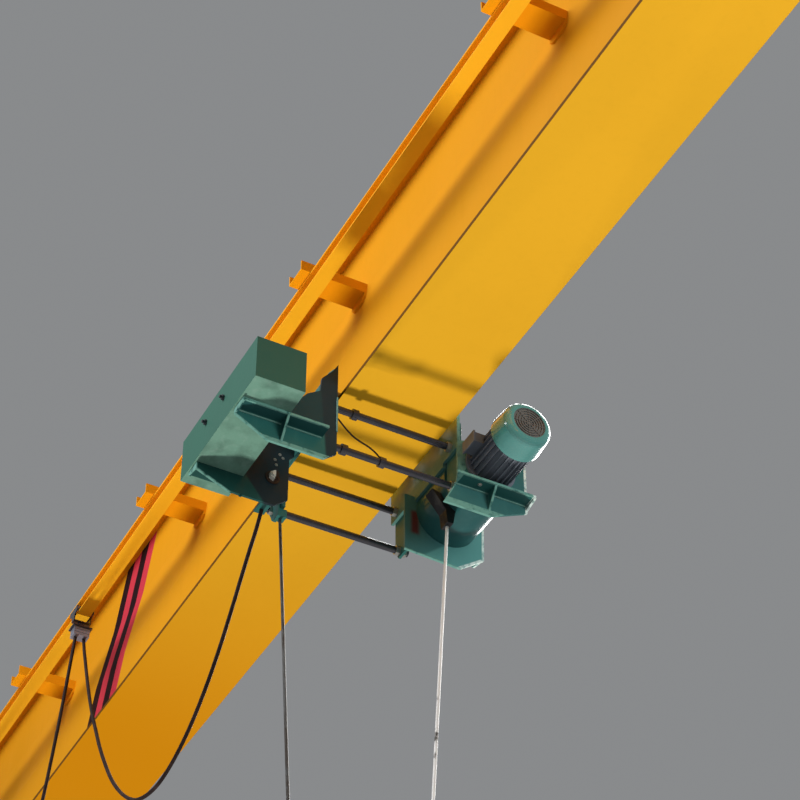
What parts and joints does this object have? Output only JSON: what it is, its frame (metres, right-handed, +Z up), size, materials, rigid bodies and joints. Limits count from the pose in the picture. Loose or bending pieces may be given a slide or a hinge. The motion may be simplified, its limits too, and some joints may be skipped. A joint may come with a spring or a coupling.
{
  "type": "overhead bridge crane",
  "caption": "Box-girder overhead bridge crane with an underslung low-headroom rope hoist trolley, a counterweight and a festoon cable on a side rail.",
  "frame": {"origin": "middle of the girder's top face", "axes": "+X along the girder towards the end that the picture's upper right corner points to, +Y across it to the hoist motor's side, +Z up"},
  "size_m": [10.704, 2.82, 4.995],
  "materials": {
    "girder_paint": "slightly dusty gloss paint",
    "flange_paint": "slightly dusty gloss paint",
    "crane_green": "gloss paint",
    "box_green": "faded gloss paint",
    "motor_grey": "satin paint",
    "dark_steel": "oily dark steel",
    "zinc_steel": "zinc-plated, slightly greasy",
    "grip_grey": "satin plastic",
    "rope_steel": "stranded wire",
    "buffer_rubber": "matt",
    "cable_rubber": "matt"
  },
  "bodies": {
    "bridge": {"girder_web_left": "girder_paint", "girder_web_right": "girder_paint", "girder_bottom_flange": "flange_paint", "girder_top_flange": "girder_paint", "girder_end_plate_near": "girder_paint", "girder_end_plate_far": "girder_paint", "end_carriage_near": "girder_paint", "end_carriage_far": "girder_paint", "carriage_wheels_near": "dark_steel", "carriage_wheels_far": "dark_steel", "travel_drive_near": "crane_green", "travel_drive_far": "crane_green", "carriage_buffers_near": "buffer_rubber", "carriage_buffers_far": "buffer_rubber", "festoon_rail": "girder_paint", "rail_arms": "girder_paint", "trolley_stops": "girder_paint", "cable_end_clamp": "dark_steel"},
    "trolley": {"side_plate_left": "crane_green", "side_plate_right": "crane_green", "wheels_left": "dark_steel", "wheels_right": "dark_steel", "hanger_near_left": "crane_green", "hanger_far_left": "crane_green", "hanger_near_right": "crane_green", "hanger_far_right": "crane_green", "arm_near_left": "crane_green", "arm_far_left": "crane_green", "arm_near_right": "crane_green", "arm_far_right": "crane_green", "tie_rods_near": "dark_steel", "tie_rods_far": "dark_steel", "rod_nuts": "zinc_steel", "counterweight_box": "box_green", "box_bolts": "dark_steel", "drum_housing": "crane_green", "gearbox": "crane_green", "motor_body": "motor_grey", "terminal_box": "dark_steel", "motor_cowl": "crane_green", "fan_grille": "dark_steel", "rope_guide": "dark_steel", "rope_anchor": "crane_green", "arm_pin": "zinc_steel", "rope_left": "rope_steel", "rope_right": "rope_steel", "rope_turn": "rope_steel", "hook_block": "crane_green", "hook_sheave": "dark_steel", "hook": "dark_steel", "cable_bracket": "crane_green", "cable_loop_1": "cable_rubber"},
    "carrier_1": {"cable_carrier_1": "dark_steel", "cable_grip_1": "grip_grey", "cable_loop_2": "cable_rubber"},
    "carrier_2": {"cable_carrier_2": "dark_steel", "cable_grip_2": "grip_grey", "cable_loop_3": "cable_rubber"}
  },
  "joints": [
    {"name": "trolley_travel", "type": "slide", "parent": "bridge", "child": "trolley", "axis": [1, 0, 0], "range_m": [-3, 2.5], "deforming": ["cable_loop_1"]},
    {"name": "carrier_1_travel", "type": "slide", "parent": "bridge", "child": "carrier_1", "axis": [1, 0, 0], "range_m": [-1.7, 1.41], "deforming": ["cable_loop_2"]},
    {"name": "carrier_2_travel", "type": "slide", "parent": "bridge", "child": "carrier_2", "axis": [1, 0, 0], "range_m": [-0.31, 0.26], "deforming": ["cable_loop_3"]}
  ],
  "couplings": [
    {"joint": "carrier_1_travel", "follows": "trolley_travel", "ratio": 0.55933},
    {"joint": "carrier_2_travel", "follows": "trolley_travel", "ratio": 0.10128}
  ]
}
